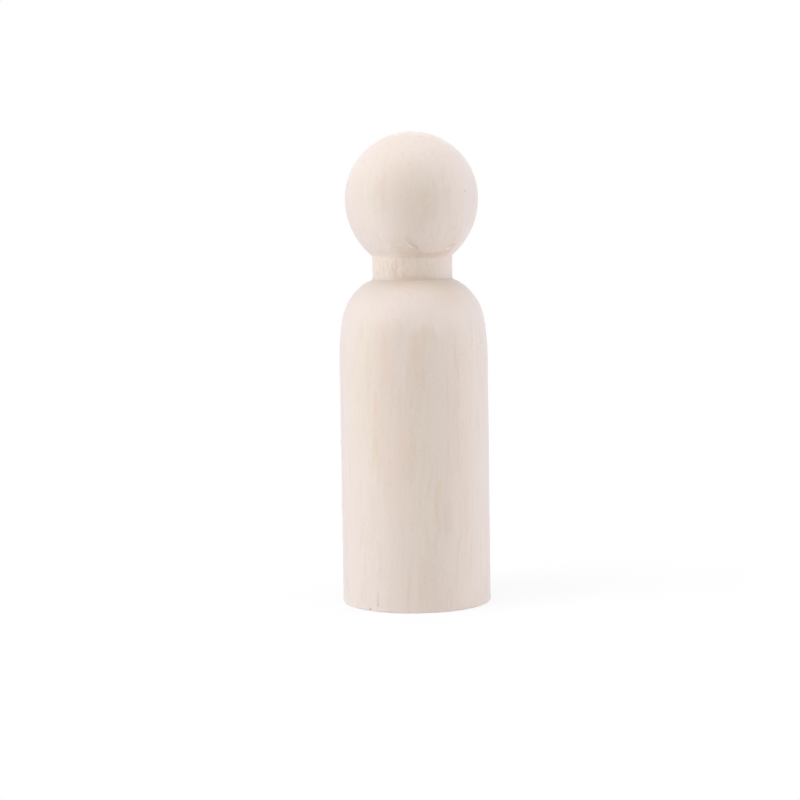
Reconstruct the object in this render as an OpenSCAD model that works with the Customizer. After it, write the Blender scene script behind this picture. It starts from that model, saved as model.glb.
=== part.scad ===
// Peg doll turned from one length of pale hardwood: a round head, a short straight neck,
// sloping shoulders and a straight round body that stands on a flat base.
// The outline is a run of arcs, each tangent to the next, turned about Z. Lengths are in millimetres.

/* [Doll] */
// Height from the base to the top of the head. A taller doll has a longer straight body
doll_h = 75; // [50:0.5:110]

/* [Head] */
// Diameter of the head at its widest
head_d = 21.1; // [16:0.1:26]
// Radius of the jaw, the slightly flatter curve below the widest line of the head
jaw_r = 11.9; // [10:0.1:16]

/* [Neck] */
// Diameter of the neck
neck_d = 12.7; // [9:0.1:16]
// Height of the neck between the jaw and the shoulder, before its corners are rounded
neck_h = 3.5; // [1.5:0.1:8]
// Radius of the rounded corner at each end of the neck, left by the nose of the tool
neck_corner_r = 0.4; // [0.1:0.1:0.6]

/* [Body] */
// Diameter of the straight body
body_d = 23.7; // [19:0.1:30]
// Height of the flank and shoulder, from the straight body up to the neck
shoulder_h = 13.3; // [10:0.1:20]
// Radius of the shoulder
shoulder_r = 8.8; // [6:0.1:12]
// Radius of the flank, the long gentle curve between the straight body and the shoulder
flank_r = 44; // [25:1:90]
// Width of the broken edge around the base
base_edge = 0.3; // [0.1:0.1:1]

/* [Hidden] */

// Furthest that a chord of the outline lies inside its true arc
arc_sag = 0.002;
// Steps around the axis in the preview
$fn = 180;

bare_wood = "#E5D6CB";

head_r = head_d / 2;
neck_r = neck_d / 2;
body_r = body_d / 2;

// A point is [distance from the axis, height]. The jaw's arc is centred on the widest line of the
// head, so it leaves the crown's arc with no corner
crown_c = [0, doll_h - head_r];
jaw_c = [head_r - jaw_r, crown_c.y];
neck_top_z = jaw_c.y - rise(jaw_r, neck_r - jaw_c.x);
neck_foot = [neck_r, neck_top_z - neck_h];

// The flank's arc leaves the straight body with no corner. The shoulder's arc touches the flank's
// arc from inside and passes through the foot of the neck
flank_c = [body_r - flank_r, neck_foot.y - shoulder_h];
shoulder_c = lower_crossing(flank_c, flank_r - shoulder_r, neck_foot, shoulder_r);

// Each rounded corner of the neck touches the neck and the arc below or above it
corner_x = neck_r + neck_corner_r;
foot_corner_c = [corner_x, shoulder_c.y + rise(shoulder_r + neck_corner_r, corner_x - shoulder_c.x)];
jaw_corner_c = [corner_x, jaw_c.y - rise(jaw_r + neck_corner_r, corner_x - jaw_c.x)];

// Directions, in degrees above level, of the points where one arc passes into the next
flank_end = heading(flank_c, shoulder_c);
shoulder_end = heading(shoulder_c, foot_corner_c);
jaw_start = heading(jaw_c, jaw_corner_c);

// Height of a circle of radius r above its centre, at a distance x to one side
function rise(r, x) = sqrt(pow(r, 2) - pow(x, 2));

// Direction from one point to another
function heading(p, q) = atan2(q.y - p.y, q.x - p.x);

// Lower of the two points where the circle at p with radius rp crosses the circle at q with radius rq
function lower_crossing(p, rp, q, rq) =
    let (
        gap = norm(q - p),
        along = (q - p) / gap,
        down = [along.y, -along.x],
        foot = (pow(rp, 2) - pow(rq, 2) + pow(gap, 2)) / (2 * gap)
    )
    p + foot * along + rise(rp, foot) * down;

// Points along an arc about c, from one direction to another. Its start is left out, because the
// stretch before it ends there
function arc(c, r, from, to) =
    let (steps = ceil(abs(to - from) / (2 * acos(1 - arc_sag / r))))
    [for (i = [1:steps]) let (a = from + (to - from) * i / steps) c + r * [cos(a), sin(a)]];

// Half outline of the doll, from the middle of the base to the top of the head
function half_outline() = concat(
    [[0, 0], [body_r - base_edge, 0], [body_r, base_edge], [body_r, flank_c.y]],
    arc(flank_c, flank_r, 0, flank_end),
    arc(shoulder_c, shoulder_r, flank_end, shoulder_end),
    arc(foot_corner_c, neck_corner_r, shoulder_end + 180, 180),
    [[neck_r, jaw_corner_c.y]],
    arc(jaw_corner_c, neck_corner_r, 180, jaw_start + 180),
    arc(jaw_c, jaw_r, jaw_start, 0),
    arc(crown_c, head_r, 0, 90)
);

// The whole doll, one piece of wood
module turned_doll() {
    color(bare_wood) rotate_extrude() polygon(half_outline());
}

turned_doll();
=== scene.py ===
"""A bare peg doll, turned from one length of pale hardwood, on a white studio floor.

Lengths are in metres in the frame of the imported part: +Z runs up the axis of the doll from its base, and the
side that faces the camera is at -Y. Angles around the doll are counted from that side towards its right.
Shapes are worked out in millimetres, because the grain is that fine, and scaled when they become a mesh.
"""

import math
from types import SimpleNamespace

import bpy
import numpy as np
from bpy.props import FloatProperty, FloatVectorProperty, IntProperty, PointerProperty
from mathutils import Matrix, Vector


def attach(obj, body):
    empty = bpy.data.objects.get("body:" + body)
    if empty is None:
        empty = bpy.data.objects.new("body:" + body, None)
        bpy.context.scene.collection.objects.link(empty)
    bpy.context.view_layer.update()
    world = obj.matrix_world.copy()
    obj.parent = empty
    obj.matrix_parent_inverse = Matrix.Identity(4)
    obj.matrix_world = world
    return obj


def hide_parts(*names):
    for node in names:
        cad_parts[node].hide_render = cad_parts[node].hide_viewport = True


bl_info = {
    "name": "Turned peg doll",
    "version": (1, 0, 0),
    "blender": (4, 5, 0),
    "location": "View3D > Sidebar > Peg Doll",
    "description": "Builds a bare turned wooden doll around its packed solid",
    "category": "Add Mesh",
}

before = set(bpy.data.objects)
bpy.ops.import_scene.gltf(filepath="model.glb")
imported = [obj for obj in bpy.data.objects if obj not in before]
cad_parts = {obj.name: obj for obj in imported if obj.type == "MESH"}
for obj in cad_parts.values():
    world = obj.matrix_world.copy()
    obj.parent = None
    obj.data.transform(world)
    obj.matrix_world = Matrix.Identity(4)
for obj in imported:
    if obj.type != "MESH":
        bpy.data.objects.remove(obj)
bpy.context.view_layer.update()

NODE = "turned_doll"
BODY = "root"
MM = 0.001

# Numbers that the wood's material reads from the points of the mesh
# The crease values are painted shade, the torn and dark values are partly painted shade, and the lip values
# are partly a painted highlight
MARKS = ("ring_depth", "torn", "lip", "dark", "crease", "furry")

# Height in mm of the growth ring that tore, under the jaw
TEAR_Z = 57
# How far in mm the middle of the crown stands above the last ring of points
POLE_RISE = 0.003
# Space in mm between the fine ticks on the upright line at the right of the body
TICK_SPACING = 0.44

# Angle in degrees and height in mm of the pale specks on the front of the head
HEAD_SPECKS = (
    (-2.2, 65.5), (-10.3, 64.9), (-4.4, 64.4), (-25.3, 64.5), (-33, 62.6), (15.6, 64.9), (15.3, 63.5),
)

# Patches of the wood's figure: angle in degrees, height in mm, half width in degrees, half height in mm
# and strength
PEACH_PATCHES = ((-21, 41, 12, 8, 0.8), (-16, 23, 22, 11, 0.38), (5, 40, 9, 8, 0.6))
TAN_BANDS = (
    (4, 38, 9, 9, 0.8), (-1, 27, 13, 6, 0.6), (-9, 22.5, 11, 4, 0.5),
    (23, 15.5, 9, 6, 1.0), (13, 6, 18, 8, 0.6),
)
# Painted shade: darker patches on the right of the body, low on its right, on the lower right of the head and
# on the upper left of the crown
PAINTED_SHADE_PATCHES = (
    (36, 24, 22, 26, 0.07), (48, 57, 24, 5, 0.18), (60, 4, 40, 12, 0.05), (-60, 72.2, 50, 3, 0.06),
)
NICKS = ((-33.4, 6.4, 0.9, 0.2, 0.3), (-31.2, 5.9, 0.9, 0.16, 0.3))

# Small warm patches, which also say how many degrees their edges wander
EMBERS = (
    (-23, 42, 4, 5, 1.0, 8), (-30, 32.4, 4, 3, 1.0, 6), (-27, 27, 6, 7, 0.6, 9),
    (-25, 66, 4, 6, 0.7, 8), (-21.5, 1.6, 3.5, 2.2, 0.5, 6), (26.5, 2.4, 3.5, 2.2, 0.6, 6),
)


class Noise:
    """A number for each noise of the relief, added to the seed so that no two are alike."""

    (
        BENT, UNEVEN, RINGS, BAND, BROAD, NARROW, FURRY, TUFTS, PATCHY, RAGGED,
        NUB, NIBBLE, SAW, BROKEN, ROUGH, MOTTLED,
    ) = range(16)


class Relief:
    """How far each kind of relief stands out or goes in, and how far rings and tears bend, in mm."""

    ring_bend = 0.55
    uneven = 0.03
    sanding_rings = 0.007
    sanded_band = 0.02
    broad_grain = 0.010
    narrow_grain = 0.006
    furry_grain = 0.009
    foot_cut = 0.13
    foot_nick = 0.03
    jaw_nick = 0.02
    ragged_edge = 0.08
    torn_step = 0.07
    torn_rough = 0.03
    chip_groove = 0.04
    chip_lip = 0.045
    check = 0.07
    nub = 0.05
    burr = 0.10
    nibble = 0.07
    saw_marks = 0.03


def cad_corners():
    """Distance from the axis and height, in metres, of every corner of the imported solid."""
    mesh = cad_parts[NODE].data
    corners = np.empty(len(mesh.vertices) * 3, np.float32)
    mesh.vertices.foreach_get("co", corners)
    x, y, z = corners.reshape(-1, 3).T
    return np.hypot(x, y), z


# The head is widest above 0.8 of the doll's height, and the neck lies close to 0.71 of it
CAD_RADII, CAD_HEIGHTS = cad_corners()
DOLL_H = float(CAD_HEIGHTS.max())
BODY_R = float(CAD_RADII.max())
HEAD_R = float(CAD_RADII[CAD_HEIGHTS > 0.8 * DOLL_H].max())
NECK_R = float(CAD_RADII[abs(CAD_HEIGHTS - 0.71 * DOLL_H) < 0.04 * DOLL_H].min())


def length(name, description, default):
    """A length that the sidebar shows with its unit."""
    return FloatProperty(
        name=name,
        description=description,
        default=default,
        min=0,
        precision=5,
        unit="LENGTH",
        subtype="DISTANCE",
    )


def angle(name, description, degrees):
    """An angle that the sidebar shows in degrees."""
    return FloatProperty(name=name, description=description, default=math.radians(degrees), subtype="ANGLE")


def colour(name, description, default):
    """A linear colour that the sidebar shows as a swatch."""
    return FloatVectorProperty(
        name=name, description=description, default=default, size=3, min=0, max=1, subtype="COLOR"
    )


def power(name, watts):
    """The power of a lamp that the sidebar shows with its unit."""
    description = f"Power of the {name.lower()}"
    return FloatProperty(name=name, description=description, default=watts, min=0, unit="POWER")


def factor(name, description, default):
    """A plain number from 0 to 1."""
    return FloatProperty(name=name, description=description, default=default, min=0, max=1, subtype="FACTOR")


class DollOutline(bpy.types.PropertyGroup):
    """Sizes of the turned outline"""

    height: length("Height", "From the base to the top of the head", DOLL_H)
    head_radius: length("Head radius", "Radius of the head at its widest", HEAD_R)
    jaw_radius: length("Jaw radius", "Radius of the flatter curve below the widest line of the head", 0.0119)
    neck_radius: length("Neck radius", "Radius of the neck", NECK_R)
    neck_height: length("Neck height", "Height of the neck before its corners are rounded", 0.0035)
    corner_radius: length("Neck corner", "Radius of the rounded corner at each end of the neck", 0.0004)
    body_radius: length("Body radius", "Radius of the straight body", BODY_R)
    shoulder_height: length("Shoulder height", "From the straight body up to the neck", 0.0133)
    shoulder_radius: length("Shoulder radius", "Radius of the shoulder", 0.0088)
    flank_radius: length("Flank radius", "Radius of the long curve between body and shoulder", 0.044)
    base_edge: length("Base edge", "Radius of the worn edge around the base", 0.0002)


class DollWood(bpy.types.PropertyGroup):
    """Grain, figure and colours of the wood"""

    pale: colour("Pale wood", "Most of the surface", (0.778, 0.672, 0.604))
    # Tan also carries painted shade: the creases, the shade patches and the shadows below the head's specks
    tan: colour("Tan wood", "Darker streaks, tears and creases", (0.66, 0.488, 0.385))
    straw: colour("Straw patches", "Yellowish patches along the grain", (0.776, 0.660, 0.532))
    peach: colour("Peach patches", "Warm patches along the grain", (0.788, 0.632, 0.528))
    rose: colour("Rose patches", "Pinkish patches along the grain", (0.777, 0.659, 0.602))
    # The dark colour is also painted shade, in the crack of the check and at the bottom of the chip grooves
    dark: colour("Dark marks", "Checks, pinholes and the bottom of torn hollows", (0.30, 0.21, 0.15))
    # Painted light: a paler tint where more light falls, on the front of the shoulder top, the lower left of
    # the head, the two sides of the neck and the lowest few mm of the body
    painted_light: colour("Fresh wood", "Paler wood of shoulder, jaw, neck sides and base edge", (0.873, 0.757, 0.71))
    # The torn ring's tan is partly painted shade under the jaw
    stain_and_shade: colour("Torn stain", "Yellowish brown of the torn ring", (0.643, 0.494, 0.379))
    # Painted sheen: the pale, cool tint at the two sides and low on the left of the body, which also tints a
    # cool patch on the front of the body
    pearl_and_sheen: colour("Pearl patches", "Cooler wood towards the two sides", (0.77, 0.682, 0.656))
    fibre: colour("Torn fibres", "Fresh fibre ends and slivers", (0.87, 0.75, 0.645))
    pith_angle: angle("Pith direction", "From the axis to the pith of the tree, from the front", 29.45)
    pith_distance: length("Pith distance", "From the axis to the pith of the tree", 0.0367)
    torn_ring: length("Torn ring", "From the pith to the growth ring that tore under the jaw", 0.030)
    ring_width: length("Ring width", "Usual width of a growth ring", 0.0019)
    fibre_length: length("Fibre length", "Length of the longest torn fibre on the neck", 0.0012)
    roughness: factor("Roughness", "Roughness of the sanded wood", 0.6)
    seed: IntProperty(name="Seed", description="Picks the grain that this doll gets", default=7, min=0)


class DollStudio(bpy.types.PropertyGroup):
    """Camera, light and floor"""

    camera_distance: length("Camera distance", "From the axis of the doll to the camera", 0.297)
    camera_height: length("Camera height", "From the floor to the camera", 0.0572)
    camera_tilt: angle("Camera tilt", "How far the camera looks down", 4.78)
    camera_turn: angle("Camera turn", "How far the camera looks to the left of the axis", 0.44)
    camera_roll: angle("Camera roll", "How far the doll leans in the picture", 0.84)
    lens: FloatProperty(name="Lens", description="Focal length in mm on a 36 mm sensor", default=83.7, min=1)
    left_power: power("Left softbox", 3.45)
    high_left_power: power("High left softbox", 2.35)
    right_power: power("Right softbox", 4.5)
    back_power: power("Back softbox", 1.2)
    top_power: power("Top softbox", 4.35)
    ambient: factor("Ambient", "Strength of the even light of the room", 0.305)
    lamp_tint: colour("Lamp tint", "Colour of the softboxes", (0.925, 0.965, 1.0))
    room_tint: colour("Room tint", "Colour of the even light of the room", (1.0, 0.965, 0.922))


def smooth_step(low, high, x):
    """0 below low, 1 above high, and the cubic 3t2 - 2t3 between them. low may be above high."""
    t = np.clip((x - low) / (high - low), 0, 1)
    return t * t * (3 - 2 * t)


def window(x, start, full, fade, end):
    """0 up to start, 1 from full to fade, 0 again past end, with smooth steps between them."""
    return smooth_step(start, full, x) * smooth_step(end, fade, x)


def hump(x, middle, half_width):
    """The bell curve exp(-((x - middle) / half_width) squared)."""
    return np.exp(-(((x - middle) / half_width) ** 2))


def lattice_value(cells, seed):
    """A fixed random number from -1 to 1 for each lattice cell, by mixing the bits of its place."""
    mixed = cells[..., 0] * 73856093 ^ cells[..., 1] * 19349663 ^ cells[..., 2] * 83492791 ^ seed * 97531
    mixed = (mixed ^ (mixed >> 13)) * 1274126177 & 0xFFFFFFFF
    mixed = (mixed ^ (mixed >> 16)) * 668265263 & 0xFFFFFFFF
    return (mixed >> 8 & 0xFFFF) / 32767.5 - 1


def lattice_noise(places, cell, seed):
    """Value noise from -1 to 1: random numbers on a lattice of the given cells, blended by smooth steps."""
    scaled = places / np.asarray(cell, float)
    low = np.floor(scaled)
    share = smooth_step(0, 1, scaled - low)
    low = low.astype(np.int64)
    total = np.zeros(places.shape[:-1])
    for corner in np.ndindex(2, 2, 2):
        weight = np.prod(np.where(corner, share, 1 - share), axis=-1)
        total += weight * lattice_value(low + corner, seed)
    return total


def arc_points(centre, radius, first, last, steps=300):
    """Points of an arc: centre + radius * (cos, sin) of directions evenly spaced from first to last."""
    turn = np.linspace(first, last, steps)
    return np.asarray(centre) + radius * np.stack([np.cos(turn), np.sin(turn)], axis=-1)


def line_points(start, end, steps=300):
    """Points evenly spaced on the straight line from start to end."""
    share = np.linspace(0, 1, steps)[:, None]
    return np.asarray(start) + share * (np.asarray(end) - np.asarray(start))


def lower_crossing(p, p_radius, q, q_radius):
    """Lower of the two points where a circle about p crosses a circle about q."""
    gap = math.dist(p, q)
    along = (q - p) / gap
    down = np.array([along[1], -along[0]])
    foot = (p_radius**2 - q_radius**2 + gap**2) / (2 * gap)
    return p + foot * along + math.sqrt(p_radius**2 - foot**2) * down


class Outline:
    """Half outline of the doll in mm, from the middle of the base to the top of the head.

    It is a run of lines and arcs, each tangent to the next: the base, its worn edge, the straight body, the
    flank, the shoulder, the hollow corner at the foot of the neck, the neck, the hollow corner under the jaw,
    the jaw and the crown. It is read by distance along it.
    """

    def __init__(self, sizes):
        head_r, neck_r, body_r = sizes.head_radius / MM, sizes.neck_radius / MM, sizes.body_radius / MM
        jaw_r, corner_r, edge = sizes.jaw_radius / MM, sizes.corner_radius / MM, sizes.base_edge / MM
        shoulder_r, flank_r = sizes.shoulder_radius / MM, sizes.flank_radius / MM
        crown = np.array([0, sizes.height / MM - head_r])
        jaw = np.array([head_r - jaw_r, crown[1]])
        neck_top = jaw[1] - math.sqrt(jaw_r**2 - (neck_r - jaw[0]) ** 2)
        foot = np.array([neck_r, neck_top - sizes.neck_height / MM])
        flank = np.array([body_r - flank_r, foot[1] - sizes.shoulder_height / MM])
        shoulder = lower_crossing(flank, flank_r - shoulder_r, foot, shoulder_r)
        corner_x = neck_r + corner_r
        foot_rise = math.sqrt((shoulder_r + corner_r) ** 2 - (corner_x - shoulder[0]) ** 2)
        jaw_drop = math.sqrt((jaw_r + corner_r) ** 2 - (corner_x - jaw[0]) ** 2)
        foot_corner = np.array([corner_x, shoulder[1] + foot_rise])
        jaw_corner = np.array([corner_x, jaw[1] - jaw_drop])
        flank_end = math.atan2(*(shoulder - flank)[::-1])
        shoulder_end = math.atan2(*(foot_corner - shoulder)[::-1])
        jaw_start = math.atan2(*(jaw_corner - jaw)[::-1])
        stretches = {
            "base": line_points((0, 0), (body_r - edge, 0)),
            "edge": arc_points((body_r - edge, edge), edge, -math.pi / 2, 0),
            "body": line_points((body_r, edge), (body_r, flank[1])),
            "flank": arc_points(flank, flank_r, 0, flank_end),
            "shoulder": arc_points(shoulder, shoulder_r, flank_end, shoulder_end),
            "foot": arc_points(foot_corner, corner_r, shoulder_end + math.pi, math.pi),
            "neck": line_points((neck_r, foot_corner[1]), (neck_r, jaw_corner[1])),
            "under_jaw": arc_points(jaw_corner, corner_r, math.pi, jaw_start + math.pi),
            "jaw": arc_points(jaw, jaw_r, jaw_start, 0),
            "crown": arc_points(crown, head_r, 0, math.pi / 2),
        }
        runs = [points[:-1] for points in stretches.values()]
        self.points = np.concatenate([*runs, [[0, sizes.height / MM]]])
        steps = np.hypot(*np.diff(self.points, axis=0).T)
        self.along = np.concatenate([[0], np.cumsum(steps)])
        starts = np.cumsum([0] + [len(run) for run in runs])
        self.start = dict(zip([*stretches, "end"], self.along[starts]))
        self.slope = np.gradient(self.points, self.along, axis=0)
        self.foot_z = foot_corner[1]
        self.neck_top_z = jaw_corner[1]

    def at(self, along):
        """Distance from the axis, height, and both parts of the outward normal, at distances along it."""
        r, z = (np.interp(along, self.along, part) for part in self.points.T)
        slope_r, slope_z = (np.interp(along, self.along, part) for part in self.slope.T)
        size = np.hypot(slope_r, slope_z)
        return r, z, slope_z / size, -slope_r / size


def graded(stops, spacings):
    """Places from the first stop to the last, spaced as given there and in proportion between stops.

    The spacing's reciprocal is summed along the way, and each whole step of that sum gets a place.
    """
    samples = 20001
    fine = np.linspace(stops[0], stops[-1], samples)
    density = 1 / np.interp(fine, stops, spacings)
    total = np.concatenate([[0], np.cumsum((density[1:] + density[:-1]) / 2 * np.diff(fine))])
    return np.interp(np.linspace(0, total[-1], round(total[-1]) + 1), total, fine)


def skin_rows(outline):
    """Distances along the outline of the rows of the surface, closest around the neck and under the jaw.

    Each stop is a distance along the outline and the spacing there, in mm.
    """
    at = outline.start
    edge, body, foot, jaw, end = at["edge"], at["body"], at["foot"], at["jaw"], at["end"]
    stops = [
        (0.3, 0.7), (edge - 1, 0.7), (edge, 0.08), (body, 0.1), (body + 3, 0.42),
        (at["flank"], 0.58), (at["shoulder"], 0.46), (foot - 1.8, 0.25), (foot - 0.6, 0.085),
        (foot + 0.7, 0.09), (jaw - 1.0, 0.115), (jaw - 0.5, 0.085), (jaw + 3.0, 0.085), (jaw + 4.6, 0.3),
        (at["crown"], 0.46), (end - 3, 0.46), (end - 0.15, 0.2),
    ]
    return graded(*zip(*stops))


def skin_angles():
    """Angles of the columns of the surface, closest on the side that faces the camera.

    Each stop is an angle and the spacing there, in degrees.
    """
    close, fine, coarse = 0.5, 0.72, 2.2
    stops = [
        (-180, coarse), (-62, coarse), (-48, fine), (-18, fine),
        (-12, close), (62, close), (76, coarse), (180, coarse),
    ]
    return graded(*zip(*stops))[:-1]


def skin_grid(outline, along, degrees):
    """The turned surface on a grid of distance along the outline and angle: r turned about Z, at height z."""
    r, z, normal_r, normal_z = (part[:, None] for part in outline.at(along))
    turn = np.radians(degrees)[None, :]
    right, front = np.sin(turn), -np.cos(turn)
    return SimpleNamespace(
        along=along[:, None] + 0 * turn,
        degrees=degrees[None, :] + 0 * r,
        r=r + 0 * turn,
        z=z + 0 * turn,
        upright=np.abs(normal_r) + 0 * turn,
        places=np.stack(np.broadcast_arrays(r * right, r * front, z), axis=-1),
        normals=np.stack(np.broadcast_arrays(normal_r * right, normal_r * front, normal_z), axis=-1),
    )


def ring_depth(places, wood):
    """How far, in mm, a place lies beyond the torn growth ring, counted away from the pith.

    It is the distance from the pith, an upright line beside the doll, less the torn ring's own distance.
    A slow noise bends the rings, but not under the jaw, where the torn ring shows.
    """
    towards = wood.pith_angle
    pith = wood.pith_distance / MM * np.array([math.sin(towards), -math.cos(towards)])
    straight = np.hypot(*np.moveaxis(places[..., :2] - pith, -1, 0)) - wood.torn_ring / MM
    away = smooth_step(3, 14, np.abs(places[..., 2] - TEAR_Z))
    return straight + Relief.ring_bend * away * lattice_noise(places, (9, 9, 26), wood.seed + Noise.BENT)


def turning_relief(skin, seed):
    """Slight out-of-round, and the rings and the band that sanding left, in mm: noise around and along."""
    turn = np.radians(skin.degrees)
    around = np.stack([np.sin(turn), -np.cos(turn), skin.along], axis=-1)
    uneven = lattice_noise(skin.places, (9, 9, 13), seed + Noise.UNEVEN)
    rings = lattice_noise(around, (1, 1, 1.3), seed + Noise.RINGS) * smooth_step(0.1, 0.5, skin.upright)
    broken = smooth_step(0, 1, lattice_noise(around, (0.3, 1, 9), seed + Noise.BAND) + 0.6)
    band = hump(skin.z, 45.1, 0.35) * broken
    return Relief.uneven * uneven + Relief.sanding_rings * rings - Relief.sanded_band * band


def grain_relief(skin, seed):
    """Raised grain on the upright parts, in mm: noise drawn out along Z."""
    broad = Relief.broad_grain * lattice_noise(skin.places, (1.5, 1.5, 24), seed + Noise.BROAD)
    narrow = Relief.narrow_grain * lattice_noise(skin.places, (0.5, 0.5, 8), seed + Noise.NARROW)
    return (broad + narrow) * smooth_step(0.25, 0.85, skin.upright)


def neck_zone(skin, outline):
    """1 on the upright neck, 0 on the shoulder and past the corner under the jaw."""
    low, high = outline.foot_z, outline.neck_top_z
    return window(skin.z, low - 0.2, low + 0.4, high - 0.1, high + 0.7)


def foot_line(skin, outline):
    """How far, in mm up the outline, a place lies above the line of painted shade around the foot of the neck.

    The line lies on the shoulder just outside the rounded corner, and further out towards the sides.
    """
    outside, further = 0.10, 0.16
    return skin.along - outline.start["foot"] + outside + further * (1 - np.cos(np.radians(skin.degrees)))


def painted_crease_shade(skin, outline, seed):
    """Painted shade: the two dark lines where the neck meets the shoulder and the jaw, broken by noise.

    Each is a bell curve across the line, and the lower one is stronger towards the right, where the neck's
    shadow falls on the shoulder. Above that one the neck darkens softly on the side of the camera, which is
    painted shade too.
    """
    turn = np.radians(skin.degrees)
    broken = 0.8 + 0.3 * lattice_noise(skin.places, (1.4, 1.4, 1.4), seed + Noise.BROKEN)
    facing = smooth_step(0.2, 0.9, np.cos(turn - math.radians(12)))
    above_foot = foot_line(skin, outline)
    foot = hump(above_foot, 0, 0.2) * (0.5 + 0.42 * np.sin(turn))
    # Painted shade on the neck just above its foot, on the side of the camera
    shade = 0.3 * facing * window(above_foot, -0.15, 0.1, 0.1, 1.5)
    jaw = 0.3 * hump(skin.along, outline.start["under_jaw"] + 0.02, 0.22)
    return np.clip((foot + shade + jaw) * broken, 0, 1)


def neck_relief(skin, outline, seed):
    """Torn, furry grain on the neck, and the foot of the neck cut deeper into the shoulder, in mm."""
    fine = lattice_noise(skin.places, (0.28, 0.28, 0.8), seed + Noise.FURRY)
    tufts = lattice_noise(skin.places, (0.6, 0.6, 1.6), seed + Noise.TUFTS)
    patchy = lattice_noise(skin.places, (2.5, 2.5, 5), seed + Noise.PATCHY)
    strength = np.clip(0.55 + 0.45 * patchy + 0.3 * hump(skin.degrees, -28, 16), 0.3, 1.3)
    furry = neck_zone(skin, outline) * (fine + 0.6 * tufts) * strength
    inside = outline.start["foot"] - skin.along
    cut = smooth_step(-0.35, 0.05, inside) * np.exp(-np.clip(inside, 0, None) / 1.1)
    foot_nick = hump(foot_line(skin, outline), 0.05, 0.13)
    jaw_nick = hump(skin.along, outline.start["under_jaw"] + 0.05, 0.12)
    nicks = Relief.foot_nick * foot_nick + Relief.jaw_nick * jaw_nick
    return Relief.furry_grain * furry - Relief.foot_cut * cut - nicks


def tear_line(degrees):
    """Distance in mm beyond its growth ring at which the tear runs.

    It goes in waves, and jumps back over the ring on the right.
    """
    waves = 0.26 * smooth_step(1, -9, degrees) - 0.2 * hump(degrees, 5, 4)
    waves = waves + 0.1 * hump(degrees, 16, 6) - 0.12 * hump(degrees, 29, 9)
    return waves - 0.54 * window(degrees, 43.8, 45.6, 46, 64) - 0.02


def torn_places(skin, depth, seed):
    """The torn ring under the jaw: how far a place lies past its ragged edge in mm, and where it shows.

    With them come the grooves and the raised lips of its two chips, a left and a right one.
    """
    degrees = skin.degrees
    uneven = lattice_noise(skin.places, (0.4, 0.4, 0.6), seed + Noise.RAGGED)
    ragged = depth - tear_line(degrees) + Relief.ragged_edge * uneven
    grooves = window(degrees, -6, -2, 5.5, 9) + window(degrees, 44.2, 45.6, 53, 58)
    lips = window(degrees, -7, -4, -1, 3.5) + 1.5 * window(degrees, 44.5, 46, 48, 55)
    return SimpleNamespace(
        ragged=ragged,
        shows=window(skin.z, 54.9, 55.4, 57.9, 59.4) * window(degrees, -30, -12, 56, 61),
        grooves=grooves,
        lips=lips * hump(ragged, 0.26, 0.12),
    )


def torn_relief(skin, torn, seed):
    """The torn ring, in mm: a step down past its edge that rises again in about a mm.

    At the chips the step is deeper, and a lip is raised beside it.
    """
    step = smooth_step(-0.06, 0.1, torn.ragged) * np.exp(-np.clip(torn.ragged, 0, None) / 0.8)
    rough = lattice_noise(skin.places, (0.5, 0.3, 0.3), seed + Noise.ROUGH)
    rough = rough * window(torn.ragged, 0, 0.4, 1.0, 2.2)
    grooves = torn.grooves * hump(torn.ragged, 0.02, 0.09)
    fallen = Relief.torn_step * step + Relief.chip_groove * grooves
    return torn.shows * (Relief.torn_rough * rough + Relief.chip_lip * torn.lips - fallen)


def torn_stain_and_shade(skin, torn, seed):
    """How tan the torn wood is, partly painted shade under the jaw: most at its edge, fading over about 2 mm,
    and again in the jaw's corner as painted shade.
    """
    degrees, z, ragged = skin.degrees, skin.z, torn.ragged
    mottled = 0.8 + 0.4 * lattice_noise(skin.places, (0.9, 0.6, 0.4), seed + Noise.MOTTLED)
    past = smooth_step(-0.08, 0.14, ragged) * np.exp(-np.clip(ragged, 0, None) / 1.9)
    past = past * smooth_step(57.4, 56.9, z) * smooth_step(70, 57, degrees)
    past = past * (0.75 + 0.25 * smooth_step(-4, 8, degrees)) * mottled
    inside = smooth_step(0.05, -0.1, ragged) * np.exp(np.clip(ragged, None, 0))
    inside = inside * (0.3 + 0.55 * smooth_step(10, -3, degrees))
    inside = inside * window(degrees, -9.5, -7, 54, 66) * window(z, 54.9, 55.4, 57.3, 59.0)
    # Painted shade in the corner under the jaw
    corner = 0.4 * hump(degrees, 10, 15) * hump(z, 55.4, 0.45)
    return np.clip(torn.shows * past + inside + corner, 0, 1)


def dot(skin, degrees, height, size):
    """A round dot: a bell curve of the distance in mm across the surface from a place."""
    across = np.radians(skin.degrees - degrees) * skin.r
    up = (skin.z - height) / np.maximum(skin.upright, 0.3)
    return np.exp(-(across**2 + up**2) / size**2)


def check_places(skin):
    """The drying check above the base: 1 in the middle of a narrow upright crack, 0 beside it."""
    wander = -30.7 + 0.25 * np.sin(skin.z * 2.1)
    across = np.radians(skin.degrees - wander) * skin.r
    return hump(across, 0, 0.13) * window(skin.z, 0.7, 1.2, 2.4, 3.8)


def dark_marks_and_shade(skin, torn):
    """Where the wood is nearly black: specks, and painted shade in the check and at the bottom of the chip
    grooves.
    """
    # Painted shade at the bottom of the grooves at the two chips
    groove = 0.3 * torn.shows * torn.grooves * hump(torn.ragged, 0, 0.09)
    specks = 0.4 * dot(skin, -31.2, 1.05, 0.14) + 0.55 * dot(skin, -38.3, 0.25, 0.2)
    specks = specks + 0.3 * dot(skin, -13.2, 56.65, 0.1)
    return np.clip(0.24 * check_places(skin) + groove + specks, 0, 1)


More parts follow.
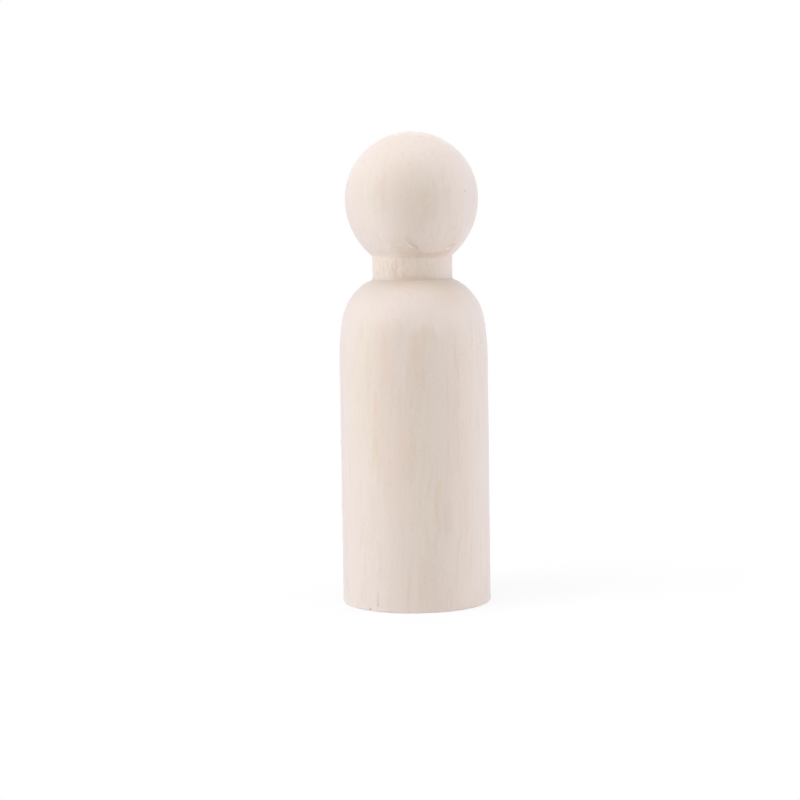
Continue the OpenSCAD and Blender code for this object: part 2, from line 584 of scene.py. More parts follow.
def small_relief(skin, outline, seed):
    """The check, a nub where the head was parted off, a burr and a nibbled base edge, in mm."""
    uneven = 1 + 0.6 * lattice_noise(skin.places, (0.7, 0.7, 0.7), seed + Noise.NUB)
    nub = hump(skin.along, outline.along[-1], 1.1) * uneven
    burr = hump(skin.degrees, 85.5, 2.2) * hump(skin.z, 0.5, 0.3)
    edge = hump(skin.along, outline.start["edge"] + 0.25, 0.35)
    nibble = edge * smooth_step(0, 1, lattice_noise(skin.places, (0.9, 0.9, 5), seed + Noise.NIBBLE))
    inward = Relief.nibble * nibble + Relief.check * check_places(skin)
    return Relief.nub * nub + Relief.burr * burr - inward


def saw_relief(skin, outline, seed):
    """Shallow marks of the saw across the underside, which only go inwards, in mm."""
    edge = outline.start["edge"]
    under = smooth_step(edge + 0.05, edge - 0.6, skin.along)
    x, y, _ = np.moveaxis(skin.places, -1, 0)
    across = np.stack([x * 0.8 + y * 0.6, 0 * x, 0 * x], axis=-1)
    strokes = (1 + lattice_noise(across, (0.9, 1, 1), seed + Noise.SAW)) / 2
    return -Relief.saw_marks * under * strokes


def closed_mesh(name, rings, bottoms, tops):
    """A mesh in metres of closed shells, each of rings of points in mm with a fan of triangles at both ends.

    rings is counted by shell, row and column, and bottoms and tops have the two end points of every shell.
    """
    shells, rows, columns = rings.shape[:3]
    places = np.concatenate([bottoms[:, None], rings.reshape(shells, -1, 3), tops[:, None]], axis=1) * MM
    first_point = np.arange(shells)[:, None] * places.shape[1]
    grid = 1 + np.arange(rows * columns).reshape(rows, columns)
    right = np.roll(grid, -1, axis=1)
    sides = np.stack([grid[:-1], right[:-1], right[1:], grid[1:]], axis=-1).reshape(-1, 4)
    first = np.stack([np.zeros(columns, int), right[0], grid[0]], axis=-1)
    last = np.stack([np.full(columns, rows * columns + 1), grid[-1], right[-1]], axis=-1)
    quads = (first_point[..., None] + sides).reshape(-1, 4)
    fans = (first_point[..., None] + np.concatenate([first, last])).reshape(-1, 3)
    mesh = bpy.data.meshes.new(name)
    mesh.from_pydata(places.reshape(-1, 3), [], [*quads.tolist(), *fans.tolist()])
    mesh.shade_smooth()
    return mesh


def point_values(mesh, name, rings):
    """A number on each point of a mesh of one closed shell, for its material to read.

    The two end points get the mean of the ring beside them.
    """
    values = np.concatenate([[rings[0].mean()], rings.ravel(), [rings[-1].mean()]]).astype(np.float32)
    mesh.attributes.new(name, "FLOAT", "POINT").data.foreach_set("value", values)


def place_piece(mesh, material):
    """Puts a finished mesh into the scene as a piece that rides on the doll and has the wood's finish."""
    mesh.materials.append(material)
    piece = bpy.data.objects.new(mesh.name, mesh)
    bpy.context.scene.collection.objects.link(piece)
    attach(piece, BODY)
    return piece


class Socket:
    """A value in a node tree. Arithmetic on it adds Math nodes, and node() adds any other kind of node."""

    def __init__(self, tree, source=None):
        self.tree = tree
        self.source = source

    def node(self, kind, settings=None, inputs=None, output=0):
        """Adds a node of a kind with its settings and its sockets' values or links, and gives one output."""
        node = self.tree.nodes.new(kind)
        for name, value in (settings or {}).items():
            setattr(node, name, value)
        for key, value in (inputs or {}).items():
            if isinstance(value, Socket):
                self.tree.links.new(value.source, node.inputs[key])
            else:
                node.inputs[key].default_value = value
        return Socket(self.tree, node.outputs[output] if len(node.outputs) else None)

    def math(self, operation, *terms):
        """A Math node on these terms."""
        return self.node("ShaderNodeMath", {"operation": operation}, dict(enumerate(terms)))

    def __add__(self, other):
        return self.math("ADD", self, other)

    def __sub__(self, other):
        return self.math("SUBTRACT", self, other)

    def __rsub__(self, other):
        return self.math("SUBTRACT", other, self)

    def __mul__(self, other):
        return self.math("MULTIPLY", self, other)

    def __truediv__(self, other):
        return self.math("DIVIDE", self, other)

    def __pow__(self, other):
        return self.math("POWER", self, other)

    def __abs__(self):
        return self.math("ABSOLUTE", self)

    __radd__ = __add__
    __rmul__ = __mul__

    def smooth(self, low, high):
        """0 where this is below low, 1 above high, smooth between. low may be above high."""
        flip = low > high
        return self.node(
            "ShaderNodeMapRange",
            {"interpolation_type": "SMOOTHSTEP"},
            {0: self, 1: min(low, high), 2: max(low, high), 3: float(flip), 4: float(not flip)},
        )

    def window(self, start, full, fade, end):
        """0 up to start, 1 from full to fade, 0 again past end, smooth between."""
        return self.smooth(start, full) * self.smooth(end, fade)

    def clamped(self):
        """This value kept between 0 and 1."""
        return self.node("ShaderNodeClamp", None, {0: self})

    def parts(self):
        """The X, Y and Z of this vector."""
        apart = self.node("ShaderNodeSeparateXYZ", None, {0: self}).source.node
        return [Socket(self.tree, output) for output in apart.outputs]

    def mix(self, below, above):
        """The colour below where this is 0, above where it is 1, mixed between."""
        return self.node("ShaderNodeMix", {"data_type": "RGBA"}, {0: self, 6: rgba(below), 7: rgba(above)}, 2)


def rgba(shade):
    """A colour as a socket takes it: a link as it is, or a colour with its alpha added."""
    return shade if isinstance(shade, Socket) else (*shade, 1.0)


def new_material(name):
    """A new material with an empty node tree, and a start for its nodes."""
    material = bpy.data.materials.new(name)
    material.use_nodes = True
    material.node_tree.nodes.clear()
    return material, Socket(material.node_tree)


def streaks(place, across, along, detail):
    """Noise from -0.5 to 0.5 drawn out along the grain, with cells of the given sizes in mm."""
    drawn = place.node(
        "ShaderNodeVectorMath", {"operation": "MULTIPLY"}, {0: place, 1: (1 / across, 1 / across, 1 / along)}
    )
    inputs = {"Vector": drawn, "Scale": 1.0, "Detail": detail, "Roughness": 0.55}
    return place.node("ShaderNodeTexNoise", None, inputs) - 0.5


def soft_patch(angle, z, degrees, height, half_width, half_height):
    """1 in the middle of an upright patch, falling to 0 at half_width degrees and half_height mm from it."""
    return abs(angle - degrees).smooth(half_width, 0) * abs(z - height).smooth(half_height, half_height * 0.3)


def patches(angle, z, places):
    """The sum of soft patches, each times its strength."""
    return sum(soft_patch(angle, z, *place) * strength for *place, strength in places)


def stripe(angle, degrees, half_width):
    """1 along an upright stripe, falling to 0 at half_width degrees from its middle."""
    return abs(angle - degrees).smooth(half_width, 4)


def wood_grain(start, wood):
    """What the wood's patterns share: places in mm, angles in degrees, noises along the grain, and zones.

    The grain leans and sways a little. The soft angle and the soft height wander with it, so that a patch
    drawn on them has no straight edge. Marks are numbers on the points of the mesh, so their colour stays on
    their relief.
    """
    place = start.node(
        "ShaderNodeVectorMath",
        {"operation": "SCALE"},
        {0: start.node("ShaderNodeTexCoord", output="Object"), "Scale": 1 / MM},
    )
    x, y, z = place.parts()
    lean, sway = 0.045, 1.8
    leaning = start.node("ShaderNodeCombineXYZ", None, {0: x - z * lean, 1: y, 2: z})
    bend = start.node("ShaderNodeTexNoise", None, {"Vector": place, "Scale": 0.11, "Detail": 1.0}, "Color")
    swaying = start.node(
        "ShaderNodeVectorMath", {"operation": "MULTIPLY_ADD"}, {0: bend, 1: (sway, sway, 0), 2: leaning}
    )
    grain = SimpleNamespace(
        z=z,
        angle=x.math("ARCTAN2", x, y * -1) * math.degrees(1),
        broad=streaks(swaying, 3.2, 45, 1.0),
        cloudy=streaks(place, 4.5, 9, 1.0),
        patchy=streaks(swaying, 1.5, 9, 1.5),
        middling=streaks(swaying, 0.75, 8, 2.0),
        narrow=streaks(swaying, 0.34, 4, 2.0),
        fine=streaks(place, 0.17, 1.1, 1.0),
        speckle=streaks(place, 0.24, 0.26, 1.0),
        grit=streaks(place, 0.26, 0.5, 0.0),
    )
    for name in MARKS:
        setattr(grain, name, start.node("ShaderNodeAttribute", {"attribute_name": name}, None, "Fac"))
    grain.soft_angle = grain.angle + grain.patchy * 26 + grain.cloudy * 16
    grain.soft_z = z + grain.cloudy * 9

    grain.behind = abs(grain.angle).smooth(80, 125)
    grain.right_side = grain.soft_angle.window(18, 48, 95, 125)
    grain.left_side = grain.soft_angle.window(-108, -82, -66, -46)
    grain.on_head = z.smooth(57, 60)
    grain.on_shoulder = (z + grain.patchy * 5).smooth(43.2, 46.0) * z.smooth(52, 51)
    grain.scuffed = grain.furry * (1 - grain.right_side)
    grain.gritty = (grain.cloudy.smooth(-0.1, 0.1) * 0.7 + 0.3) * (1 - grain.on_shoulder * 0.8)
    grain.gritty = grain.gritty * (1 - grain.on_head * 0.5)

    level = start.node("ShaderNodeNewGeometry", None, None, "Normal").parts()[2]
    grain.under = level.smooth(-0.85, -0.98) * z.smooth(1.0, 0.2)
    grain.end_grain = grain.under + level.smooth(0.6, 0.97) * grain.on_head
    turns = grain.ring_depth / (wood.ring_width / MM) + grain.middling * 0.7
    share = turns.math("FRACT", turns)
    grain.late_wood = (1 - share) ** 2.0 * share.smooth(0, 0.25)
    return grain


def slanting_streaks(grain):
    """Two thin streaks that slant across the lower body, broken by noise. Their angle grows with height."""
    angle, z, wobble = grain.angle, grain.z, grain.narrow * 5
    left = abs(angle + 58.6 - z * 1.09 + wobble).smooth(3.0, 0.5) * abs(z - 18.5).smooth(10, 7)
    right = abs(angle - 2.0 - z * 0.85 + wobble).smooth(3.4, 0.6) * abs(z - 17.2).smooth(4.6, 2.4)
    return (left + right) * (grain.patchy.smooth(-0.2, 0.12) * 0.75 + 0.25)


def wood_figure(grain):
    """Straw, peach and rose patches along the grain, tan bands, warm embers and slanting streaks.

    The back, which has its own patches, takes them from noise alone.
    """
    angle, z, soft_angle, soft_z = grain.angle, grain.z, grain.soft_angle, grain.soft_z
    behind, patchy, broad = grain.behind, grain.patchy, grain.broad
    head_band = stripe(soft_angle, 5, 24) * grain.on_head * soft_z.smooth(69, 63.5)

    straw = stripe(soft_angle, -38, 18) * (0.75 - soft_z.smooth(34, 24) * 0.45 - soft_z.smooth(16, 8) * 0.15)
    straw = straw + stripe(soft_angle, 6, 16) * 0.55 + behind * broad.smooth(0, 0.1)
    at_neck = abs(soft_z - 57.6).smooth(5.5, 1.8)
    straw = straw * (1 - at_neck) * soft_z.smooth(73, 68) * (1 - grain.on_head * 0.45)

    peach = patches(soft_angle, soft_z, PEACH_PATCHES) + behind * patchy.smooth(0, 0.15) * 0.6
    peach = peach + stripe(soft_angle, -14, 18) * (0.5 - soft_z.smooth(20, 10) * 0.35)
    peach = peach * (1 - soft_patch(angle, z, -9, 39.5, 9, 7) * 0.75)
    peach = peach + soft_patch(soft_angle, soft_z, 6, 69.3, 16, 2.6) * 0.3
    peach = peach + soft_patch(angle, z, 34, 31, 26, 18) * 0.36
    peach = peach + soft_patch(soft_angle, z, -4, 50.8, 34, 1.9) * 1.1
    peach = peach + soft_patch(soft_angle, z, -4, 53.4, 40, 2.4) * grain.furry

    rose = (soft_angle.smooth(32, 58) + soft_angle.smooth(-58, -76)) * (1 - behind)
    rose = rose + behind * broad.smooth(-0.02, -0.12) + soft_patch(angle, z, 30, 32, 24, 22) * 0.6

    embers = sum(
        soft_patch(angle + grain.narrow * wander, z, *place) * strength for *place, strength, wander in EMBERS
    )
    return SimpleNamespace(
        head_band=head_band,
        straw=straw + head_band * 0.25,
        peach=peach + head_band * 0.42,
        rose=rose,
        bands=patches(soft_angle, soft_z, TAN_BANDS) + behind * patchy.smooth(0.05, 0.2),
        embers=embers + soft_patch(angle + grain.narrow * 8, soft_z, -34, 16.5, 4, 5) * 0.35,
        slanting=slanting_streaks(grain),
    )


def small_marks(grain):
    """Tone that small marks add to the wood.

    They are the painted shade of the creases, a thin upright line on the right with fine ticks across it, two
    short lines on the neck, nicks above the base, and a soft painted shadow below each speck on the head.
    """
    angle, z = grain.angle, grain.z
    off_line = angle - 34.6 - (z - 30) * 0.06
    on_line = z.window(21, 23, 38.8, 39.8)
    dark_line = abs(off_line).smooth(0.7, 0.1) * on_line * grain.narrow.smooth(-0.2, 0.1)
    waves = z * (2 * math.pi / TICK_SPACING)
    ticks = (waves.math("SINE", waves) + grain.fine * 1.6).smooth(0.0, 0.9)
    ticks = ticks * abs(off_line + 1.0).smooth(3.0, 1.4) * on_line * grain.patchy.smooth(-0.16, 0.05)
    bent = angle + grain.narrow * 1.25
    neck_lines = abs(bent + 32.3).smooth(1.2, 0.3) + abs(bent + 28).smooth(1.0, 0.3) * 0.55
    neck_lines = neck_lines * abs(z - 53.1).smooth(1.4, 0.9)
    # Painted shadow below each raised speck on the head
    painted_speck_shadows = [(degrees + 1.2, height - 0.2, 2.2, 0.45, 0.18) for degrees, height in HEAD_SPECKS]
    # The crease values are painted shade in the corners at both ends of the neck
    lines = grain.crease * 0.52 + dark_line * 0.26 + ticks * 0.12 + neck_lines * 0.45
    return lines + patches(angle, z, NICKS) + patches(angle, z, painted_speck_shadows)


def wood_tone(grain, figure):
    """How tan the wood is, from 0 to 1: the sum of streaks, pits, rings, bands, scuffs and small marks, with
    painted shade in the shade patches, the creases and below the head's specks.
    """
    angle, z = grain.angle, grain.z
    streaky = (1 - grain.on_shoulder * 0.3) * (1 - grain.on_head * 0.45)
    facing = abs(angle).smooth(75, 25)
    pits = grain.grit.smooth(0.17, 0.28) * grain.gritty
    tone = grain.middling.smooth(-0.04, 0.3) * 0.20 + grain.narrow * 0.16 + grain.fine * 0.15
    tone = (tone + grain.patchy * 0.14 + figure.bands * (0.18 + grain.patchy * 0.20)) * streaky
    tone = tone + grain.speckle * 0.2 + grain.cloudy * 0.18 + grain.late_wood * 0.05 + pits * 0.16
    tone = tone + grain.end_grain * (grain.late_wood * 0.22 + grain.speckle * 0.3 + 0.03) + grain.under * 0.35
    tone = tone + grain.on_head * (grain.middling * 0.33 + grain.narrow * 0.08 - 0.02)
    # Painted light: the front of the shoulder top is made lighter
    tone = tone + grain.on_shoulder * (0.02 - facing * 0.12)
    tone = tone + grain.scuffed * (grain.speckle * 0.45 + grain.fine * 0.55 + grain.narrow * 0.3)
    tone = tone - grain.furry * (0.1 - grain.right_side * 0.05)
    tone = tone + soft_patch(angle + grain.narrow * 3, z, 1.2, 68, 3.6, 3.4) * 0.08
    tone = tone + figure.head_band * (0.05 + grain.patchy * 0.1)
    tone = tone + figure.slanting * 0.09 + figure.embers * 0.08
    # The patches here are painted shade
    return tone + patches(angle, z, PAINTED_SHADE_PATCHES) + small_marks(grain) + 0.01


def wood_shade(grain, wood):
    """The colour of the wood: pale, with each layer mixed over those before it by its share from 0 to 1. Some
    of the layers are painted light, painted shade and painted sheen.
    """
    angle, z, soft_angle = grain.angle, grain.z, grain.soft_angle
    figure = wood_figure(grain)
    hue = (grain.patchy + grain.middling) * 1.8
    straw = figure.straw * (1 - grain.on_shoulder * 0.6) * (0.62 + hue) + figure.slanting * 0.9
    straw = straw + soft_patch(soft_angle, z, 1, 45.2, 7, 2.2) * 0.4
    # Painted light on the front of the shoulder top
    painted_shoulder_light = abs(angle).smooth(45, 10) * (0.46 + grain.middling * 0.8 + grain.narrow * 0.45) + 0.02
    # Painted sheen on the two sides, and low on the left of the body, with a cool patch on the front
    sides = (soft_angle.smooth(38, 66) * 0.55 + soft_angle.smooth(-50, -78) * 0.42) * (1 - grain.behind)
    cool = soft_patch(soft_angle, z, -9, 39.5, 10, 6) * 0.16 + soft_patch(angle, z, -45, 6, 36, 22) * 0.3
    # Painted light: paler wood over the lowest few mm of the body, lifting it out of the floor's shade
    painted_light_near_base = (z.smooth(4.5, 0.2) * 0.12 + z.smooth(1.3, 0.1) * 0.26) * (1 - grain.under)
    flecks = grain.grit.smooth(-0.18, -0.28) * grain.gritty
    fibres = grain.furry * (0.5 - grain.right_side * 0.3) - grain.fine * grain.scuffed * 0.75 + flecks * 0.36
    # Painted light on the two sides of the neck
    painted_neck_side_light = grain.left_side * 0.45 + grain.right_side * soft_angle.smooth(36, 56) * 0.22
    specks = patches(angle, z, [(degrees, height, 1.35, 0.21, 1) for degrees, height in HEAD_SPECKS])
    specks = specks + soft_patch(angle, z, 14.5, 64, 1.3, 0.6) * 0.8
    pinhole = soft_patch(angle, z, 52.4, 65.37, 1.2, 0.2)

    layers = (
        (figure.rose * (0.75 + hue), wood.rose),
        (straw, wood.straw),
        (figure.peach * (0.6 - hue), wood.peach),
        (figure.embers * 0.75, wood.peach),
        # Painted light on the front of the shoulder top, then on the lower left of the head
        (grain.on_shoulder * painted_shoulder_light * z.smooth(51.7, 50.3), wood.painted_light),
        (soft_patch(angle, z, -33, 59, 36, 6.5) * 0.28, wood.painted_light),
        (soft_patch(angle, z, 33, 49.6, 34, 3.8) * 0.5, wood.peach),
        (soft_patch(angle, z, 16, 50.8, 66, 1.8) * 0.3, wood.straw),
        # Painted sheen at the sides, with a cool patch on the front
        (sides + cool, wood.pearl_and_sheen),
        # Painted light near the base
        (painted_light_near_base, wood.painted_light),
        (fibres, wood.fibre),
        # Painted light on the sides of the neck
        (grain.furry * painted_neck_side_light, wood.painted_light),
        (wood_tone(grain, figure), wood.tan),
        # Torn ring: its tan, partly painted shade under the jaw
        (grain.torn * 0.6, wood.stain_and_shade),
        # The lip share is a painted highlight along the raised lip of each chip, which also has pale torn
        # fibres
        (grain.lip * 0.65 + specks * (grain.speckle * 0.55 + 0.355), wood.fibre),
        # Dark specks and pinhole, with painted shade in the check and the chip grooves
        (grain.dark + pinhole * 0.6, wood.dark),
    )
    shade = wood.pale
    for share, tint in layers:
        shade = share.clamped().mix(shade, tint)
    return shade


def bare_wood_material(wood):
    """Bare turned wood: coloured patches and streaks along the grain, growth rings, torn and creased places.

    Patterns are worked out in mm from the object's own coordinates, or in degrees around the axis.
    """
    material, start = new_material("turned_hardwood")
    grain = wood_grain(start, wood)
    rough = wood.roughness + grain.narrow * 0.14 + grain.furry * 0.12 + grain.torn * 0.1
    height = grain.narrow * 0.5 + grain.fine * 0.5 + grain.speckle * 0.4
    bump = start.node("ShaderNodeBump", None, {"Strength": 0.3, "Distance": 0.05 * MM, "Height": height})
    surface = start.node(
        "ShaderNodeBsdfPrincipled",
        None,
        {
            "Base Color": wood_shade(grain, wood),
            "Roughness": rough,
            "Normal": bump,
            "Specular IOR Level": 0.5,
            "Sheen Weight": 0.18,
            "Sheen Roughness": 0.4,
            "Sheen Tint": (0.8, 0.86, 1.0, 1.0),
        },
    )
    start.node("ShaderNodeOutputMaterial", None, {"Surface": surface})
    return material


def fibre_material(wood):
    """Torn fibre: the pale colour of newly torn wood, a little darker and warmer from one fibre to the next.
    """
    material, start = new_material("torn_fibre")
    place = start.node("ShaderNodeTexCoord", output="Object")
    mottled = start.node("ShaderNodeTexNoise", None, {"Vector": place, "Scale": 900.0, "Detail": 2.0})
    shade = mottled.smooth(0.35, 0.7).mix(wood.fibre, wood.straw)
    rough = wood.roughness + (mottled - 0.5) * 0.2
    surface = start.node("ShaderNodeBsdfPrincipled", None, {"Base Color": shade, "Roughness": rough})
    start.node("ShaderNodeOutputMaterial", None, {"Surface": surface})
    return material


def on_skin(outline, along, degrees):
    """Places on the turned surface with their outward, upward and rightward directions."""
    r, z, normal_r, normal_z = outline.at(along)
    turn = np.radians(degrees)
    outward = np.stack([normal_r * np.sin(turn), -normal_r * np.cos(turn), normal_z], axis=-1)
    rightward = np.stack([np.cos(turn), np.sin(turn), 0 * turn], axis=-1)
    places = np.stack([r * np.sin(turn), -r * np.cos(turn), z], axis=-1)
    return places, outward, np.cross(outward, rightward), rightward


def sliver_shells(roots, outward, heading, lengths, widths, lifts):
    """Rings and end points of tapered slivers that leave the surface: a flat oval carried along each path.

    A path goes from its root along its heading, and rises outwards with the square of the distance. The
    oval's half width shrinks as the square root of what is left of the path, and it is half as thick as wide.
    """
    share = np.array([0.0, 0.3, 0.6, 0.86])
    corners = 5
    turn = np.arange(corners) * (2 * math.pi / corners)

    def path(t):
        flat = (lengths[:, None] * t)[..., None] * heading[:, None]
        return roots[:, None] + flat + (lifts[:, None] * t**2)[..., None] * outward[:, None]

    sideways = np.cross(outward, heading)
    across = np.cos(turn)[:, None] * sideways[:, None] + 0.5 * np.sin(turn)[:, None] * outward[:, None]
    size = widths[:, None] * np.sqrt(1 - share)
    rings = path(share)[:, :, None] + size[..., None, None] * across[:, None]
    ends = path(np.array([-0.08, 1.0]))
    return rings, ends[:, 0], ends[:, 1]


def scattered_fibres(outline, wood):
    """Places, headings and sizes of the torn fibres, drawn at random in four groups.

    The furry ones of the neck come first, then some at the tear, short wide ones on the body, and a few all
    around the neck.
    """
    draw = np.random.default_rng(wood.seed)
    at = outline.start
    longest = wood.fibre_length / MM
    neck, tear, body, ring = counts = (110, 22, 240, 40)
    count = sum(counts)

    def by_group(*values):
        return np.repeat(values, counts)

    degrees = np.concatenate([
        np.where(draw.random(neck) < 0.6, draw.normal(-28, 18, neck), draw.uniform(-75, 60, neck)),
        draw.uniform(-14, 12, tear),
        draw.uniform(-180, 180, body),
        draw.uniform(-180, 180, ring),
    ])
    along = np.concatenate([
        draw.uniform(at["neck"] - 0.1, at["under_jaw"] - 0.2, neck),
        draw.uniform(at["under_jaw"] + 0.1, at["jaw"] + 1.5, tear),
        draw.uniform(at["body"] + 1, at["shoulder"] + 1, body),
        draw.uniform(at["neck"] - 0.1, at["under_jaw"] - 0.2, ring),
    ])
    lengths = longest * by_group(0.9, 1.0, 0.6, 0.8) * draw.uniform(0.3, 1.0, count)
    widths = draw.uniform(0.018, 0.034, count) * by_group(1, 1, 2.2, 1)
    lifts = lengths * draw.uniform(0.05, 0.28, count) * by_group(1, 0.8, 0.35, 1)
    lean = np.radians(draw.normal(0, 16, count) + by_group(0, 55, 0, 0))
    downward = draw.random(count) < 0.35
    return along, degrees, lean + math.pi * downward, lengths, widths, lifts


class PEG_DOLL_OT_turned_wood(bpy.types.Operator):
    """Build the turned doll with its grain, tool marks and torn ring"""

    bl_idname = "peg_doll.turned_wood"
    bl_label = "Turned Wood"
    bl_options = {"REGISTER", "UNDO"}

    def execute(self, context):
        wood, outline = context.scene.doll_wood, Outline(context.scene.doll_outline)
        skin = skin_grid(outline, skin_rows(outline), skin_angles())
        depth = ring_depth(skin.places, wood)
        torn = torn_places(skin, depth, wood.seed)
        relief = (
            turning_relief(skin, wood.seed)
            + grain_relief(skin, wood.seed)
            + neck_relief(skin, outline, wood.seed)
            + torn_relief(skin, torn, wood.seed)
            + small_relief(skin, outline, wood.seed)
            + saw_relief(skin, outline, wood.seed)
        )
        rings = skin.places + relief[..., None] * skin.normals
        rings[..., 2] = np.maximum(rings[..., 2], 0)
        bottom = np.array([[0, 0, rings[0, :, 2].mean()]])
        top = np.array([[0, 0, rings[-1, :, 2].max() + POLE_RISE]])
        mesh = closed_mesh("doll_wood", rings[None], bottom, top)
        marks = (
            depth,
            torn_stain_and_shade(skin, torn, wood.seed),
            torn.shows * torn.lips,
            dark_marks_and_shade(skin, torn),
            painted_crease_shade(skin, outline, wood.seed),
            neck_zone(skin, outline),
        )
        for name, values in zip(MARKS, marks):
            point_values(mesh, name, values)
        piece = place_piece(mesh, bare_wood_material(wood))
        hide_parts(NODE)
        return {"FINISHED"}


class PEG_DOLL_OT_torn_fibres(bpy.types.Operator):
    """Build the torn fibres that stand out from the wood, most of them on the neck"""

    bl_idname = "peg_doll.torn_fibres"
    bl_label = "Torn Fibres"
    bl_options = {"REGISTER", "UNDO"}

    def execute(self, context):
        wood, outline = context.scene.doll_wood, Outline(context.scene.doll_outline)
        along, degrees, lean, lengths, widths, lifts = scattered_fibres(outline, wood)
        roots, outward, upward, rightward = on_skin(outline, along, degrees)
        heading = np.cos(lean)[:, None] * upward + np.sin(lean)[:, None] * rightward
        rings, roots, tips = sliver_shells(roots, outward, heading, lengths, widths, lifts)
        place_piece(closed_mesh("torn_fibres", rings, roots, tips), fibre_material(wood))
        return {"FINISHED"}


class PEG_DOLL_OT_studio(bpy.types.Operator):
    """Set up the floor, the light and the camera"""

    bl_idname = "peg_doll.studio"
    bl_label = "Studio"
    bl_options = {"REGISTER", "UNDO"}

    def execute(self, context):
        studio = context.scene.doll_studio
        context.scene.view_settings.view_transform = "Standard"
        white_floor()
        white_room(context.scene, studio.ambient, studio.room_tint)
        softbox("left_softbox", -75, 8, studio.left_power, studio.lamp_tint)
        softbox("high_left_softbox", -60, 45, studio.high_left_power, studio.lamp_tint)
        softbox("right_softbox", 85, 8, studio.right_power, studio.lamp_tint)
        softbox("back_softbox", 180, 30, studio.back_power, studio.lamp_tint)
        softbox("top_softbox", 0, 88, studio.top_power, studio.lamp_tint)
        photo_camera(context.scene, studio)
        return {"FINISHED"}


def seen_directly(start):
    """1 for rays from the camera, a mirror-like surface or glass, which see the background as white."""
    path = start.node("ShaderNodeLightPath").source.node
    kinds = ("Is Camera Ray", "Is Glossy Ray", "Is Transmission Ray")
    camera, glossy, clear = (Socket(start.tree, path.outputs[kind]) for kind in kinds)
    return camera.math("MAXIMUM", camera, glossy.math("MAXIMUM", glossy, clear))


def white_floor():
    """A wide level floor of white paint.

    The camera sees it glow white, less so near the doll, where its shadow shows.
    """
    half = 2.0
    corners = [(-half, -half, 0), (half, -half, 0), (half, half, 0), (-half, half, 0)]
    mesh = bpy.data.meshes.new("floor")
    mesh.from_pydata(corners, [], [(0, 1, 2, 3)])
    material, start = new_material("white_floor")
    paint = start.node("ShaderNodeBsdfDiffuse", None, {"Color": (0.92, 0.92, 0.92, 1)})
    glow = start.node("ShaderNodeEmission", None, {"Color": (1, 1, 1, 1), "Strength": 1.0})
    place = start.node("ShaderNodeTexCoord", output="Object")
    away = start.node("ShaderNodeVectorMath", {"operation": "LENGTH"}, {0: place}, "Value")
    share = seen_directly(start) * (0.78 + away.smooth(0.02, 0.09) * 0.22)
    surface = start.node("ShaderNodeMixShader", None, {0: share, 1: paint, 2: glow})
    start.node("ShaderNodeOutputMaterial", None, {"Surface": surface})
    mesh.materials.append(material)
    floor = bpy.data.objects.new("floor", mesh)
    bpy.context.scene.collection.objects.link(floor)


def white_room(scene, ambient, tint):
    """An even room light that shows white behind the doll."""
    world = bpy.data.worlds.new("white_room")
    world.use_nodes = True
    world.node_tree.nodes.clear()
    start = Socket(world.node_tree)
    light = start.node("ShaderNodeBackground", None, {"Color": rgba(tint), "Strength": ambient})
    white = start.node("ShaderNodeBackground", None, {"Color": (1, 1, 1, 1), "Strength": 1.0})
    surface = start.node("ShaderNodeMixShader", None, {0: seen_directly(start), 1: light, 2: white})
    start.node("ShaderNodeOutputWorld", None, {"Surface": surface})
    scene.world = world


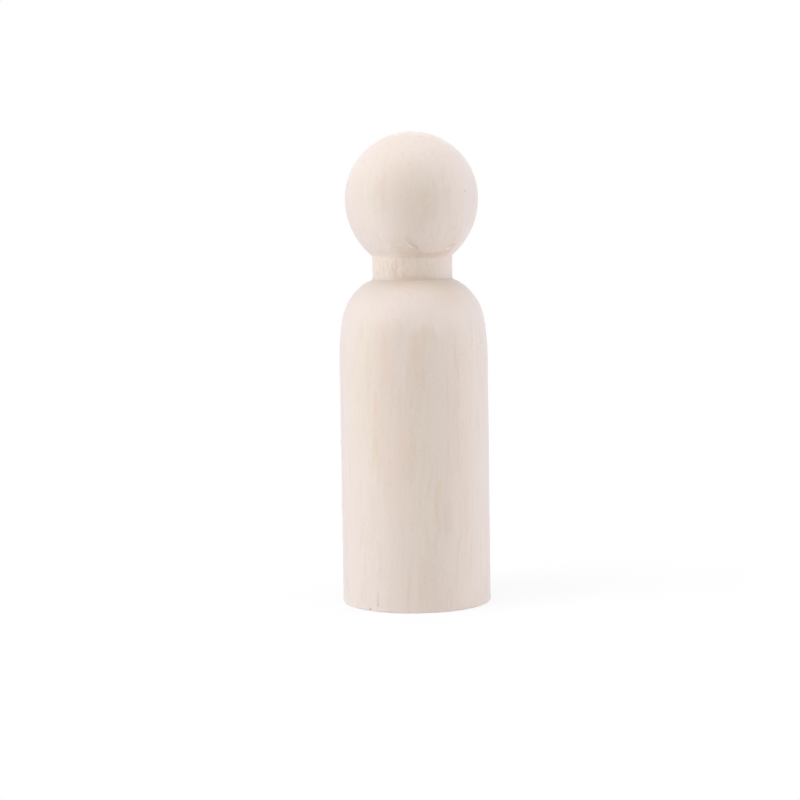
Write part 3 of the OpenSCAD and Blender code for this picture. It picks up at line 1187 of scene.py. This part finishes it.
def softbox(name, degrees, elevation, watts, tint):
    """A square lamp turned to the middle of the doll, at an angle from the front and an elevation."""
    distance, size = 0.9, 0.6
    lamp = bpy.data.lights.new(name, "AREA")
    lamp.shape = "SQUARE"
    lamp.size = size
    lamp.energy = watts
    lamp.color = tint
    turn, lift = math.radians(degrees), math.radians(elevation)
    away = Vector((math.sin(turn) * math.cos(lift), -math.cos(turn) * math.cos(lift), math.sin(lift)))
    spot = Matrix.Translation(away * distance + Vector((0, 0, DOLL_H / 2)))
    box = bpy.data.objects.new(name, lamp)
    box.matrix_world = spot @ away.to_track_quat("Z", "Y").to_matrix().to_4x4()
    bpy.context.scene.collection.objects.link(box)


def photo_camera(scene, studio):
    """The camera in front of the doll: turned to the left, tilted down and rolled by the studio's angles."""
    data = bpy.data.cameras.new("photo_camera")
    data.sensor_width = 36
    data.lens = studio.lens
    data.clip_start = 0.01
    camera = bpy.data.objects.new("photo_camera", data)
    camera.matrix_world = (
        Matrix.Translation((0, -studio.camera_distance, studio.camera_height))
        @ Matrix.Rotation(studio.camera_turn, 4, "Z")
        @ Matrix.Rotation(math.pi / 2 - studio.camera_tilt, 4, "X")
        @ Matrix.Rotation(-studio.camera_roll, 4, "Z")
    )
    scene.collection.objects.link(camera)
    scene.camera = camera


class PEG_DOLL_PT_sidebar(bpy.types.Panel):
    """Sizes, colours and steps of the doll"""

    bl_idname = "PEG_DOLL_PT_sidebar"
    bl_label = "Peg Doll"
    bl_space_type = "VIEW_3D"
    bl_region_type = "UI"
    bl_category = "Peg Doll"

    def draw(self, context):
        for group in (context.scene.doll_outline, context.scene.doll_wood, context.scene.doll_studio):
            box = self.layout.box()
            for name in group.__annotations__:
                box.prop(group, name)
        for step in STEPS:
            self.layout.operator(step.bl_idname)


STEPS = (PEG_DOLL_OT_turned_wood, PEG_DOLL_OT_torn_fibres, PEG_DOLL_OT_studio)
CLASSES = (DollOutline, DollWood, DollStudio, *STEPS, PEG_DOLL_PT_sidebar)


def register():
    for item in CLASSES:
        bpy.utils.register_class(item)
    bpy.types.Scene.doll_outline = PointerProperty(type=DollOutline)
    bpy.types.Scene.doll_wood = PointerProperty(type=DollWood)
    bpy.types.Scene.doll_studio = PointerProperty(type=DollStudio)


def unregister():
    del bpy.types.Scene.doll_studio, bpy.types.Scene.doll_wood, bpy.types.Scene.doll_outline
    for item in reversed(CLASSES):
        bpy.utils.unregister_class(item)


def main():
    """Registers the classes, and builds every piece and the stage."""
    register()
    bpy.ops.peg_doll.turned_wood()
    bpy.ops.peg_doll.torn_fibres()
    bpy.ops.peg_doll.studio()


if __name__ == "__main__":
    main()
